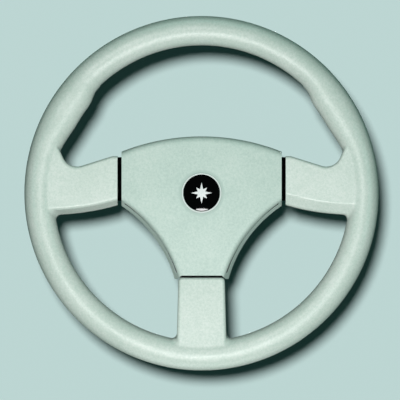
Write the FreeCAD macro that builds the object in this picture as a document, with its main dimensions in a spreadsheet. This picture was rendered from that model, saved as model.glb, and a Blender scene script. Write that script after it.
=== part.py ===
import FreeCAD, Part
import math
import os

import Sketcher

# Boat steering wheel with three soft-moulded spokes, thumb grips and a push-fit centre pad.
# The wheel axis is Y, the driver's side faces -Y, +Z is twelve o'clock and +X is right.
# The origin is the centre of the hub boss's rear face, where the tapered bore is widest.
# A depth is a distance forward of that face, so it lies at y = -depth.

doc = FreeCAD.newDocument("boat_steering_wheel")
sheet = doc.addObject("Spreadsheet::Sheet", "Sizes")

# Driving dimensions in millimetres and degrees.
SIZES = {
    # Rim
    "WheelDiameter": 350,
    "GripDiameter": 29,
    "RimDepth": 62,
    "ThumbSwell": 5.5,
    "ThumbLowAngle": 13,
    "ThumbHighAngle": 47,
    "ThumbLowRamp": 17,
    "ThumbHighRamp": 10,
    "CoreBarDiameter": 12,
    # All spokes: how far faces stand ahead of or behind the rim's centre plane
    "SpokeProud": 8,
    "SpokeRise": 4.8,
    "SpokeBackset": 9,
    "SpokeRearRounding": 3,
    "RimBlendRadius": 5,
    # Side spokes
    "SpokeGap": 4,
    "SpokeRootTop": 36.4,
    "SpokeRootBottom": -11.8,
    "SpokeShoulder": 5,
    "SpokeTopSlope": 17.5,
    "SpokeBellyRadius": 230,
    "SpokeBellySlope": 16.5,
    "SpokeRimSlope": 4.1,
    "SpokeUpperRounding": 3,
    "SpokeBevelWidth": 5.5,
    "SpokeBevelDepth": 11,
    "SpokeBevelRounding": 3.5,
    "CornerArcRadius": 15,
    "CornerArcTurn": 82.5,
    "CornerArcInset": 42,
    # Bottom spoke
    "LowerSpokeGap": 1.8,
    "LowerSpokeRootHalf": 22.9,
    "LowerSpokeRimHalf": 24.9,
    "LowerSpokeCorner": 4,
    # Centre pad
    "PadHalfLength": 79,
    "PadEndTop": 41,
    "PadCrest": 56,
    "PadEndBottom": -12.5,
    "PadFlankRadius": 128,
    "PadFootReach": 81.5,
    "PadFootHalf": 26.6,
    "PadFootInnerHalf": 20,
    "PadEarDrop": 3.2,
    "PadProud": 11.5,
    "PadBackset": 9,
    "PadCrownRadius": 900,
    "PadWall": 3,
    "PadFace": 7,
    "PadTopRounding": 7,
    "PadBevelWidth": 5.5,
    "PadBevelDepth": 12,
    "PadEdgeRounding": 4,
    "PadEarGap": 0.8,
    "PadNotchClearance": 1.2,
    # Badge in the middle of the pad
    "BadgeDiameter": 36,
    "BadgeClearance": 0.3,
    "BadgeSeat": 3.5,
    "BadgeDome": 1.6,
    "BadgeEdgeRounding": 0.6,
    "BadgeLipWidth": 1.3,
    "BadgeLipHeight": 0.6,
    "BadgeStemDiameter": 6,
    "BadgeStemLength": 10.5,
    "ClipDiameter": 17,
    "ClipThickness": 0.8,
    "ClipTeeth": 5,
    "ClipSlotWidth": 1,
    "ClipSlotReach": 5.5,
    # Rigid carrier behind the pad's skin
    "CarrierThickness": 2.5,
    "CarrierClearance": 0.3,
    "CarrierRibHeight": 5,
    "CarrierRibThickness": 2,
    "CarrierBossWall": 2.5,
    "CarrierWellClearance": 0.5,
    "PostDiameter": 7,
    "PostRootDiameter": 11,
    "PostBulb": 0.9,
    "PostTipLength": 6,
    "PostTipBevel": 1.9,
    # Hub boss
    "BossDiameter": 48,
    "FlangeDiameter": 72,
    "FlangeThickness": 6,
    "BossHeight": 36,
    "BossFillet": 2.5,
    "BossChamfer": 1.2,
    "TaperDiameter": 19.05,
    "TaperRatio": 12,
    "TaperLength": 28,
    "NutPocketDiameter": 34,
    "KeyWidth": 4.8,
    "KeyDepth": 2.3,
    # Hub plate and spoke arms
    "PlateDiameter": 84,
    "PlateThickness": 3,
    "EarWidth": 32,
    "EarReach": 57,
    "EarFillet": 7,
    "ArmDroop": 9,
    "ArmBase": 26.9,
    "ArmWidth": 26,
    "ArmSheet": 2.5,
    "ArmFlange": 6,
    "ArmRootReach": 36,
    "ArmBendStart": 57,
    "ArmBendEnd": 70,
    "ArmClearance": 1,
    "ArmRimOverlap": 2,
    "ArmSlotWidth": 9,
    "ArmSlotInset": 13,
    "ArmSlotOutset": 26.5,
    "ArmWingWidth": 43,
    "ArmWingLength": 11,
    "GrommetReach": 47,
    "GrommetHole": 10,
    "GrommetDiameter": 15,
    "GrommetFlange": 2,
    "GrommetRounding": 1.2,
    # Screws that join the plate to the boss
    "ScrewCount": 6,
    "ScrewCircle": 56,
    "ScrewDiameter": 6,
    "ScrewLength": 9.5,
    "ScrewHeadDiameter": 10.5,
    "ScrewHeadHeight": 3.3,
    "ScrewSocket": 4,
    "ScrewSocketDepth": 2,
    "ScrewHeadBand": 0.6,
    "ScrewHeadFlat": 6,
    "ScrewCrownRadius": 4.7,
    "WasherDiameter": 10.8,
    "WasherThickness": 1.6,
    "WasherSplit": 1,
}
for row, (alias, size) in enumerate(SIZES.items(), start=1):
    sheet.set(f"A{row}", alias)
    sheet.set(f"B{row}", str(size))
    sheet.setAlias(f"B{row}", alias)
doc.recompute()


class Size:
    """A length or angle that knows its value now and the sheet formula behind it."""

    def __init__(self, value, formula):
        self.value = float(value)
        self.formula = formula

    def __add__(self, other):
        other = size_of(other)
        return Size(self.value + other.value, f"({self.formula} + {other.formula})")

    def __sub__(self, other):
        other = size_of(other)
        return Size(self.value - other.value, f"({self.formula} - {other.formula})")

    def __mul__(self, other):
        other = size_of(other)
        return Size(self.value * other.value, f"({self.formula} * {other.formula})")

    def __truediv__(self, other):
        other = size_of(other)
        return Size(self.value / other.value, f"({self.formula} / {other.formula})")

    def __radd__(self, other):
        return size_of(other) + self

    def __rsub__(self, other):
        return size_of(other) - self

    def __rmul__(self, other):
        return size_of(other) * self

    def __neg__(self):
        return Size(-self.value, f"(0 - {self.formula})")


def size_of(number):
    """Take a plain number as a Size."""
    if isinstance(number, Size):
        return number
    return Size(number, repr(float(number)))


def root(size):
    """Square root of a Size."""
    return Size(math.sqrt(size.value), f"sqrt({size.formula})")


def tangent(angle):
    """Tangent of an angle in degrees."""
    return Size(math.tan(math.radians(angle.value)), f"tan({angle.formula})")


def sine(angle):
    """Sine of an angle in degrees."""
    return Size(math.sin(math.radians(angle.value)), f"sin({angle.formula})")


def cosine(angle):
    """Cosine of an angle in degrees."""
    return Size(math.cos(math.radians(angle.value)), f"cos({angle.formula})")


class Sheet:
    """The driving dimensions by name."""

    def __getattr__(self, alias):
        return Size(float(sheet.get(alias)), f"Sizes.{alias}")


S = Sheet()

# Values worked out from the driving dimensions.
rim_radius = S.WheelDiameter / 2
grip_radius = S.GripDiameter / 2
tube_radius = rim_radius - grip_radius
spoke_root = S.PadHalfLength + S.SpokeGap
lower_root = S.PadFootReach + S.LowerSpokeGap
spoke_rear = S.RimDepth - S.SpokeBackset
spoke_front = S.RimDepth + S.SpokeProud
pad_rear = S.RimDepth - S.PadBackset
pad_front = S.RimDepth + S.PadProud
pad_cavity = pad_front - S.PadFace
carrier_rear = pad_cavity - S.CarrierThickness
boss_radius = S.BossDiameter / 2
flange_rear = S.BossHeight - S.FlangeThickness
well_diameter = S.ClipDiameter + 2 * S.CarrierWellClearance
boss_outside = well_diameter + 2 * S.CarrierBossWall
plate_front = S.BossHeight + S.PlateThickness
arm_front = plate_front + S.ArmSheet
arm_depth = carrier_rear - S.ArmClearance - S.ArmFlange
arm_reach = tube_radius - S.ArmRimOverlap
post_end = S.BossHeight - S.GrommetFlange


# How far a cut reaches past the material that it removes.
PAST = 2
# A half circle's radius is drawn a hair larger than half its width so that the arc always closes.
ROUND_END = 1.0001
# Sections through each thumb grip.
THUMB_STEPS = 12


def bind(thing, prop, size):
    """Tie a property to its formula in the sheet."""
    thing.setExpression(prop, size_of(size).formula)


def new_body(label):
    """A body for one sub-part."""
    body = doc.addObject("PartDesign::Body", label)
    body.Label = label
    return body


def plane_sketch(body, role, lift=0, turn=0, rise=0):
    """A sketch on an origin plane, lifted along its normal, raised in Z and turned in its own plane.

    On the XZ plane local x, y and z are X, Z and the depth.  On the XY plane local x is the way
    along an arm, local y is minus the depth, and the turn is about the wheel axis.
    """
    sketch = body.newObject("Sketcher::SketchObject", body.Name + "_sketch")
    plane = [item for item in body.Origin.OriginFeatures if item.Role == role][0]
    sketch.AttachmentSupport = [(plane, "")]
    sketch.MapMode = "FlatFace"
    facing = role == "XZ_Plane"
    spin = FreeCAD.Vector(0, 0, 1) if facing else FreeCAD.Vector(0, 1, 0)
    away = FreeCAD.Vector(0, 1, 0) if facing else FreeCAD.Vector(0, 0, 1)
    angle = size_of(turn)
    sketch.AttachmentOffset = FreeCAD.Placement(away, FreeCAD.Rotation(spin, angle.value or 1))
    bind(sketch, "AttachmentOffset.Base." + ("y" if facing else "z"), rise)
    bind(sketch, "AttachmentOffset.Base." + ("z" if facing else "y"), lift)
    bind(sketch, "AttachmentOffset.Rotation.Angle", angle)
    return sketch


def set_point(sketch, item, end, point):
    """Hold a point of the sketch at its formula coordinates."""
    for kind, part in (("DistanceX", point[0]), ("DistanceY", point[1])):
        part = size_of(part)
        number = sketch.addConstraint(Sketcher.Constraint(kind, item, end, part.value))
        sketch.setExpression(f"Constraints[{number}]", part.formula)


def add_circle(sketch, diameter, x=0, y=0):
    """A circle held by its centre and diameter."""
    diameter = size_of(diameter)
    centre = FreeCAD.Vector(size_of(x).value, size_of(y).value, 0)
    circle = Part.Circle(centre, FreeCAD.Vector(0, 0, 1), diameter.value / 2)
    item = sketch.addGeometry(circle, False)
    set_point(sketch, item, 3, (x, y))
    number = sketch.addConstraint(Sketcher.Constraint("Diameter", item, diameter.value))
    sketch.setExpression(f"Constraints[{number}]", diameter.formula)


def arc_between(a, b, radius, side):
    """The short arc from a to b; side +1 has its centre on the left of the way from a to b."""
    chord = b - a
    half = chord.Length / 2
    left = FreeCAD.Vector(-chord.y, chord.x, 0).normalize()
    centre = (a + b) / 2 + left * side * math.sqrt(max(radius**2 - half**2, 0))
    first, last = (a, b) if side > 0 else (b, a)
    start = math.atan2(first.y - centre.y, first.x - centre.x)
    stop = math.atan2(last.y - centre.y, last.x - centre.x)
    circle = Part.Circle(centre, FreeCAD.Vector(0, 0, 1), radius)
    return Part.ArcOfCircle(circle, start, stop if stop > start else stop + 2 * math.pi)


def add_outline(sketch, corners):
    """A closed outline: each corner is (x, y) or (x, y, radius, side) for an arc to the next one."""
    count = len(corners)
    ends = []
    for index, corner in enumerate(corners):
        follower = corners[(index + 1) % count]
        a = FreeCAD.Vector(size_of(corner[0]).value, size_of(corner[1]).value, 0)
        b = FreeCAD.Vector(size_of(follower[0]).value, size_of(follower[1]).value, 0)
        if len(corner) == 2:
            item = sketch.addGeometry(Part.LineSegment(a, b), False)
            ends.append((item, 1, 2))
            continue
        radius = size_of(corner[2])
        item = sketch.addGeometry(arc_between(a, b, radius.value, corner[3]), False)
        number = sketch.addConstraint(Sketcher.Constraint("Radius", item, radius.value))
        sketch.setExpression(f"Constraints[{number}]", radius.formula)
        ends.append((item, 1, 2) if corner[3] > 0 else (item, 2, 1))
    for index, (item, first, last) in enumerate(ends):
        after, start, _ = ends[(index + 1) % count]
        sketch.addConstraint(Sketcher.Constraint("Coincident", item, last, after, start))
        set_point(sketch, item, first, corners[index])


def reflected(corners):
    """The mirror image of an outline across its vertical axis, in the opposite order."""
    image = []
    for index in range(len(corners) - 1, -1, -1):
        x, y = corners[index][:2]
        curve = tuple(corners[index - 1][2:])
        image.append((-size_of(x), y) + curve)
    return image


def mirrored(corners):
    """Close a right-hand half outline, given from top to bottom, with its mirror image."""
    return corners + reflected(corners)


def add_box_outline(sketch, x0, y0, x1, y1):
    """A rectangle from one corner to the other."""
    add_outline(sketch, [(x0, y0), (x1, y0), (x1, y1), (x0, y1)])


def extrude(body, kind, sketch, length, both_ways=False, backward=False):
    """Pad or pocket a sketch along its normal."""
    feature = body.newObject("PartDesign::" + kind, body.Name + "_" + kind.lower())
    feature.Profile = sketch
    bind(feature, "Length", length)
    feature.Midplane = both_ways
    feature.Reversed = backward
    body.Tip = feature
    doc.recompute()
    return feature


def turn_profile(body, kind, sketch):
    """Revolve or groove a sketch all the way round its own vertical axis."""
    feature = body.newObject("PartDesign::" + kind, body.Name + "_" + kind.lower())
    feature.Profile = sketch
    feature.ReferenceAxis = (sketch, ["V_Axis"])
    feature.Angle = 360
    body.Tip = feature
    doc.recompute()
    return feature


def repeat_round(body, feature, count):
    """Repeat a feature round the wheel axis."""
    pattern = body.newObject("PartDesign::PolarPattern", body.Name + "_pattern")
    pattern.Originals = [feature]
    axis = [item for item in body.Origin.OriginFeatures if item.Role == "Y_Axis"][0]
    pattern.Axis = (axis, [""])
    pattern.Angle = 360
    bind(pattern, "Occurrences", count)
    body.Tip = pattern
    doc.recompute()
    return pattern


def edges_where(shape, test):
    """Names of the edges whose midpoint and direction pass the test."""
    names = []
    for number, edge in enumerate(shape.Edges, start=1):
        if edge.Length < 1e-6:
            continue
        middle = edge.valueAt((edge.FirstParameter + edge.LastParameter) / 2)
        start = edge.valueAt(edge.FirstParameter)
        stop = edge.valueAt(edge.LastParameter)
        if test(middle, stop - start, edge):
            names.append(f"Edge{number}")
    return names


def soften(body, test, radius):
    """Fillet the edges that pass the test."""
    base = body.Tip
    feature = body.newObject("PartDesign::Fillet", body.Name + "_fillet")
    feature.Base = (base, edges_where(base.Shape, test))
    bind(feature, "Radius", radius)
    body.Tip = feature
    doc.recompute()
    return feature


def bevel(body, test, width, depth=None, flip=False):
    """Chamfer the edges that pass the test."""
    base = body.Tip
    feature = body.newObject("PartDesign::Chamfer", body.Name + "_chamfer")
    feature.Base = (base, edges_where(base.Shape, test))
    if depth is not None:
        feature.ChamferType = "Two distances"
        bind(feature, "Size2", depth)
        feature.FlipDirection = flip
    bind(feature, "Size", width)
    body.Tip = feature
    doc.recompute()
    return feature


def near(value, size, margin=0.05):
    """Whether a coordinate is at a size."""
    return abs(value - size_of(size).value) < margin


def ring_core():
    """The round steel bar inside the rim."""
    ring = doc.addObject("Part::Torus", "core_ring")
    ring.Label = "core_ring"
    bind(ring, "Radius1", tube_radius)
    bind(ring, "Radius2", S.CoreBarDiameter / 2)
    ring.Placement = FreeCAD.Placement(
        FreeCAD.Vector(0, -S.RimDepth.value, 0), FreeCAD.Rotation(FreeCAD.Vector(1, 0, 0), 90)
    )
    bind(ring, "Placement.Base.y", -S.RimDepth)
    return ring


ARMS = {
    "right": (S.ArmDroop, S.ArmBase),
    "left": (180 - S.ArmDroop, S.ArmBase),
    "bottom": (size_of(90), size_of(0)),
}


def mitre(lift):
    """Way back along an arm at which a bend's parallel line turns, for a line lifted by lift."""
    run = S.ArmBendEnd - S.ArmBendStart
    climb = arm_depth - plate_front
    slant = root(run * run + climb * climb)
    return lift * (slant - run) / climb


def arm_profile(low, high):
    """Side outline of a cranked strip between two heights above its rear face."""
    start = S.ArmRootReach
    stop = arm_reach
    return [
        (start, -(plate_front + low)),
        (S.ArmBendStart - mitre(low), -(plate_front + low)),
        (S.ArmBendEnd - mitre(low), -(arm_depth + low)),
        (stop, -(arm_depth + low)),
        (stop, -(arm_depth + high)),
        (S.ArmBendEnd - mitre(high), -(arm_depth + high)),
        (S.ArmBendStart - mitre(high), -(plate_front + high)),
        (start, -(plate_front + high)),
    ]


def spoke_arm(side, ring):
    """A pressed channel, cranked forward from the hub plate to the ring and fitted round it."""
    turn, rise = ARMS[side]
    blank = new_body("arm_blank_" + side)
    channel = plane_sketch(blank, "XY_Plane", turn=turn, rise=rise)
    add_outline(channel, arm_profile(size_of(0), S.ArmFlange))
    extrude(blank, "Pad", channel, S.ArmWidth, both_ways=True)
    hollow = plane_sketch(blank, "XY_Plane", turn=turn, rise=rise)
    add_outline(hollow, arm_profile(S.ArmSheet, S.ArmFlange + PAST))
    extrude(blank, "Pocket", hollow, S.ArmWidth - 2 * S.ArmSheet, both_ways=True)
    hole = plane_sketch(blank, "XZ_Plane", lift=plate_front, turn=arm_angle(side), rise=rise)
    add_circle(hole, S.GrommetHole, S.GrommetReach)
    extrude(blank, "Pocket", hole, S.ArmFlange, backward=True)
    slot = plane_sketch(blank, "XZ_Plane", lift=arm_depth, turn=arm_angle(side), rise=rise)
    half = S.ArmSlotWidth / 2
    slot_start = spoke_root + S.ArmSlotInset
    slot_end = arm_reach - S.ArmSlotOutset
    add_outline(slot, [
        (slot_start, -half),
        (slot_end, -half, half * ROUND_END, 1),
        (slot_end, half),
        (slot_start, half, half * ROUND_END, 1),
    ])
    extrude(blank, "Pocket", slot, S.ArmFlange, backward=True)
    wing = plane_sketch(blank, "XZ_Plane", lift=arm_depth)
    add_box_outline(wing, *wing_box(side))
    extrude(blank, "Pad", wing, S.ArmSheet)
    arm = doc.addObject("Part::Cut", "spoke_arm_" + side)
    arm.Label = "spoke_arm_" + side
    arm.Base = blank
    arm.Tool = ring
    doc.recompute()
    return arm


def wing_box(side, margin=0, inward=0, outward=0):
    """Corners of the arm's wide part in the gap, with a margin at its sides and more reach each way."""
    half = S.ArmWingWidth / 2 + margin
    if side == "bottom":
        return -half, -(lower_root + outward), half, -(lower_root - S.ArmWingLength - inward)
    middle = S.ArmBase - (spoke_root - S.SpokeGap / 2) * tangent(S.ArmDroop)
    inner = spoke_root - S.ArmWingLength - inward
    outer = spoke_root + outward
    if side == "left":
        inner, outer = -outer, -inner
    return inner, middle - half, outer, middle + half


def arm_angle(side):
    """Turn of an arm in the wheel's own plane."""
    return -ARMS[side][0]


def hub_plate():
    """The flat pressed plate with an ear under each arm."""
    body = new_body("hub_plate")
    disc = plane_sketch(body, "XZ_Plane", lift=S.BossHeight)
    add_circle(disc, S.PlateDiameter)
    extrude(body, "Pad", disc, S.PlateThickness)
    for side, (_, rise) in ARMS.items():
        ear = plane_sketch(body, "XZ_Plane", lift=S.BossHeight, turn=arm_angle(side), rise=rise)
        start = -S.EarWidth / 2 * tangent(S.ArmDroop)
        add_box_outline(ear, start, -S.EarWidth / 2, S.EarReach, S.EarWidth / 2)
        extrude(body, "Pad", ear, S.PlateThickness)
    reach = S.PlateDiameter.value / 2

    def inner_corner(middle, way, edge):
        upright = abs(way.x) + abs(way.z) < 1e-4
        return upright and abs(math.hypot(middle.x, middle.z) - reach) < 0.05

    def outer_corner(middle, way, edge):
        upright = abs(way.x) + abs(way.z) < 1e-4
        return upright and math.hypot(middle.x, middle.z) > reach + PAST

    soften(body, inner_corner, S.EarFillet)
    soften(body, outer_corner, S.EarFillet)
    middle_hole = plane_sketch(body, "XZ_Plane", lift=S.BossHeight)
    add_circle(middle_hole, S.NutPocketDiameter)
    extrude(body, "Pocket", middle_hole, S.PlateThickness, backward=True)
    for side, (_, rise) in ARMS.items():
        hole = plane_sketch(body, "XZ_Plane", lift=S.BossHeight, turn=arm_angle(side), rise=rise)
        add_circle(hole, S.GrommetHole, S.GrommetReach)
        extrude(body, "Pocket", hole, S.PlateThickness, backward=True)
    screw_hole = plane_sketch(body, "XZ_Plane", lift=S.BossHeight)
    add_circle(screw_hole, S.ScrewDiameter, S.ScrewCircle / 2)
    first = extrude(body, "Pocket", screw_hole, S.PlateThickness, backward=True)
    repeat_round(body, first, S.ScrewCount)
    return body


def hub_boss():
    """The turned boss with its tapered bore, keyway, nut pocket and screw flange."""
    body = new_body("hub_boss")
    mouth = S.TaperDiameter / 2
    small = mouth - S.TaperLength / S.TaperRatio / 2
    half = plane_sketch(body, "XY_Plane")
    add_outline(half, [
        (mouth, 0),
        (boss_radius, 0),
        (boss_radius, -flange_rear),
        (S.FlangeDiameter / 2, -flange_rear),
        (S.FlangeDiameter / 2, -S.BossHeight),
        (S.NutPocketDiameter / 2, -S.BossHeight),
        (S.NutPocketDiameter / 2, -S.TaperLength),
        (small, -S.TaperLength),
    ])
    turn_profile(body, "Revolution", half)

    def neck(middle, way, edge):
        reach = math.hypot(middle.x, middle.z)
        return near(middle.y, -flange_rear) and near(reach, boss_radius)

    def rims(middle, way, edge):
        reach = math.hypot(middle.x, middle.z)
        outer = near(reach, S.FlangeDiameter / 2) or near(reach, boss_radius)
        return outer and abs(way.y) < 1e-4 and not near(middle.y, -flange_rear)

    soften(body, neck, S.BossFillet)
    bevel(body, rims, S.BossChamfer)
    key = plane_sketch(body, "XZ_Plane")
    add_box_outline(key, -S.KeyWidth / 2, 0, S.KeyWidth / 2, mouth + S.KeyDepth)
    extrude(body, "Pocket", key, S.TaperLength, backward=True)
    hole = plane_sketch(body, "XZ_Plane", lift=flange_rear)
    add_circle(hole, S.ScrewDiameter, S.ScrewCircle / 2)
    first = extrude(body, "Pocket", hole, S.FlangeThickness, backward=True)
    repeat_round(body, first, S.ScrewCount)
    return body


def hub_screw():
    """A round-headed socket screw through the plate into the flange."""
    body = new_body("hub_screw")
    under_head = plate_front + S.WasherThickness
    side = plane_sketch(body, "XY_Plane")
    top = under_head + S.ScrewHeadHeight
    crown = S.ScrewHeadDiameter / 2
    add_outline(side, [
        (0, -(under_head - S.ScrewLength)),
        (S.ScrewDiameter / 2, -(under_head - S.ScrewLength)),
        (S.ScrewDiameter / 2, -under_head),
        (crown, -under_head),
        (crown, -(under_head + S.ScrewHeadBand), S.ScrewCrownRadius, -1),
        (S.ScrewHeadFlat / 2, -top),
        (0, -top),
    ])
    turn_profile(body, "Revolution", side)
    socket = plane_sketch(body, "XZ_Plane", lift=top)
    flat_radius = S.ScrewSocket / 2 / cosine(size_of(30))
    add_outline(socket, [
        (flat_radius * cosine(size_of(60 * turn)), flat_radius * sine(size_of(60 * turn)))
        for turn in range(6)
    ])
    extrude(body, "Pocket", socket, S.ScrewSocketDepth)
    return body


def washer():
    """A split lock washer."""
    body = new_body("hub_lock_washer")
    ring = plane_sketch(body, "XZ_Plane", lift=plate_front)
    add_circle(ring, S.WasherDiameter)
    add_circle(ring, S.ScrewDiameter)
    extrude(body, "Pad", ring, S.WasherThickness)
    split = plane_sketch(body, "XZ_Plane", lift=plate_front)
    add_box_outline(split, 0, -S.WasherSplit / 2, S.WasherDiameter, S.WasherSplit / 2)
    extrude(body, "Pocket", split, S.WasherThickness, backward=True)
    return body


def bolt_circle(one, label):
    """Six copies of a body that stands on the wheel axis, set on the bolt circle as one group."""
    copies = []
    count = int(S.ScrewCount.value)
    for number in range(count):
        angle = 2 * math.pi * number / count
        reach = S.ScrewCircle.value / 2
        copy = one.Shape.copy()
        copy.rotate(FreeCAD.Vector(), FreeCAD.Vector(0, 1, 0), -math.degrees(angle))
        copy.translate(FreeCAD.Vector(reach * math.cos(angle), 0, reach * math.sin(angle)))
        copies.append(copy)
    group = doc.addObject("Part::Feature", label)
    group.Label = label
    group.Shape = Part.makeCompound(copies)
    return group


def grommet(number, side):
    """A rubber grommet through an arm and the plate under it."""
    turn, rise = ARMS[side]
    body = new_body(f"pad_grommet_{number}")
    neck = S.GrommetHole / 2
    wide = S.GrommetDiameter / 2
    lip = S.GrommetFlange
    half = plane_sketch(body, "XY_Plane")
    add_outline(half, [
        (S.PostDiameter / 2, -post_end),
        (wide, -post_end),
        (wide, -S.BossHeight),
        (neck, -S.BossHeight),
        (neck, -arm_front),
        (wide, -arm_front),
        (wide, -(arm_front + lip)),
        (S.PostDiameter / 2, -(arm_front + lip)),
    ])
    turn_profile(body, "Revolution", half)

    def brim(middle, way, edge):
        ends = near(middle.y, -post_end) or near(middle.y, -(arm_front + lip))
        return ends and near(math.hypot(middle.x, middle.z), wide)

    soften(body, brim, S.GrommetRounding)
    bind(body, "Placement.Base.x", S.GrommetReach * cosine(turn))
    bind(body, "Placement.Base.z", rise - S.GrommetReach * sine(turn))
    doc.recompute()
    return body


def pad_corners(inset, ears=False):
    """The pad's outline, drawn in from its edge by an inset; ears wrap the bottom spoke's end."""
    crest_rise = S.PadCrest - S.PadEndTop
    top_radius = (S.PadHalfLength * S.PadHalfLength + crest_rise * crest_rise) / (2 * crest_rise)
    top_centre = S.PadCrest - top_radius
    end_x = S.PadHalfLength - inset
    top_inset = top_radius - inset
    end_top = top_centre + root(top_inset * top_inset - end_x * end_x)
    foot_z = -(S.PadFootReach + S.PadEarDrop)
    # Centre of the flank's arc, which lies outside the pad, from its two ends and its radius.
    half_x = (S.PadHalfLength - S.PadFootHalf) / 2
    half_z = (S.PadEndBottom - foot_z) / 2
    half_chord = root(half_x * half_x + half_z * half_z)
    height = root(S.PadFlankRadius * S.PadFlankRadius - half_chord * half_chord)
    centre_x = (S.PadHalfLength + S.PadFootHalf) / 2 + height * half_z / half_chord
    centre_z = (S.PadEndBottom + foot_z) / 2 - height * half_x / half_chord
    flank = S.PadFlankRadius + inset
    along = centre_x - end_x
    end_bottom = centre_z + root(flank * flank - along * along)
    if ears:
        return mirrored([
            (end_x, end_top),
            (end_x, end_bottom, flank, 1),
            (S.PadFootHalf, foot_z),
            (S.LowerSpokeRootHalf + S.PadEarGap, foot_z),
            (S.PadFootInnerHalf, -S.PadFootReach),
        ])
    bottom = -(S.PadFootReach - inset)
    drop = centre_z - bottom
    foot_x = centre_x - root(flank * flank - drop * drop)
    return mirrored([(end_x, end_top), (end_x, end_bottom, flank, 1), (foot_x, bottom)])


def with_crest(corners, inset):
    """Turn the closing line between the two top corners into the crest's arc."""
    crest_rise = S.PadCrest - S.PadEndTop
    top_radius = (S.PadHalfLength * S.PadHalfLength + crest_rise * crest_rise) / (2 * crest_rise)
    last = corners[-1]
    return corners[:-1] + [(last[0], last[1], top_radius - inset, -1)]


def centre_pad():
    """The soft moulded pad: crowned face, bevelled flanks, badge recess and open back."""
    body = new_body("centre_pad")
    block = plane_sketch(body, "XZ_Plane", lift=pad_rear)
    add_outline(block, with_crest(pad_corners(size_of(0), ears=True), 0))
    extrude(body, "Pad", block, pad_front - pad_rear)
    crown = plane_sketch(body, "XY_Plane")
    far = S.PadHalfLength + S.PadCrest
    sag = S.PadCrownRadius - root(S.PadCrownRadius * S.PadCrownRadius - far * far)
    add_outline(crown, [
        (0, -pad_front, S.PadCrownRadius, 1),
        (far, -(pad_front - sag)),
        (far, -(pad_front + PAST)),
        (0, -(pad_front + PAST)),
    ])
    turn_profile(body, "Groove", crown)

    def crowned(middle):
        reach = math.hypot(middle.x, middle.z)
        sag = reach**2 / S.PadCrownRadius.value / 2
        return near(middle.y, sag - pad_front, 0.5)

    def swept(middle, way):
        long = min(abs(way.x), abs(way.z)) > S.PadFootInnerHalf.value
        return long and middle.z < S.PadEndBottom.value

    def top_edge(middle, way, edge):
        return crowned(middle) and middle.z > S.PadEndTop.value and abs(way.x) > S.PadHalfLength.value

    def flank_edge(middle, way, edge):
        return crowned(middle) and swept(middle, way)

    soften(body, top_edge, S.PadTopRounding)
    bevel(body, flank_edge, S.PadBevelWidth, S.PadBevelDepth)
    soften(body, flank_edge, S.PadEdgeRounding)
    recess = plane_sketch(body, "XZ_Plane", lift=pad_front - S.BadgeSeat)
    add_circle(recess, S.BadgeDiameter + 2 * S.BadgeClearance)
    lip = plane_sketch(body, "XZ_Plane", lift=pad_front - S.BadgeSeat / 2)
    add_circle(lip, S.BadgeDiameter + 2 * S.BadgeClearance + 2 * S.BadgeLipWidth)
    extrude(body, "Pad", lip, S.BadgeLipHeight + S.BadgeSeat / 2)
    extrude(body, "Pocket", recess, S.BadgeSeat + PAST, backward=True)
    cavity = plane_sketch(body, "XZ_Plane", lift=pad_rear)
    add_outline(cavity, with_crest(pad_corners(S.PadWall), S.PadWall))
    extrude(body, "Pocket", cavity, pad_cavity - pad_rear, backward=True)
    stem = plane_sketch(body, "XZ_Plane", lift=pad_cavity)
    add_circle(stem, S.BadgeStemDiameter)
    extrude(body, "Pocket", stem, pad_front - pad_cavity, backward=True)
    half = S.ArmWidth / 2 + S.PadNotchClearance
    flange_front = arm_depth + S.ArmFlange + S.PadNotchClearance
    wing_front = arm_depth + S.ArmSheet + S.PadNotchClearance
    for side, (_, rise) in ARMS.items():
        notch = plane_sketch(body, "XZ_Plane", lift=pad_rear, turn=arm_angle(side), rise=rise)
        inner = spoke_root - S.ArmWingLength
        add_box_outline(notch, inner, -half, spoke_root + S.ArmWingLength, half)
        extrude(body, "Pocket", notch, flange_front - pad_rear, backward=True)
        wide = plane_sketch(body, "XZ_Plane", lift=pad_rear)
        add_box_outline(wide, *wing_box(side, S.PadNotchClearance, S.PadNotchClearance, S.PadEarDrop))
        extrude(body, "Pocket", wide, wing_front - pad_rear, backward=True)
    return body


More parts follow.
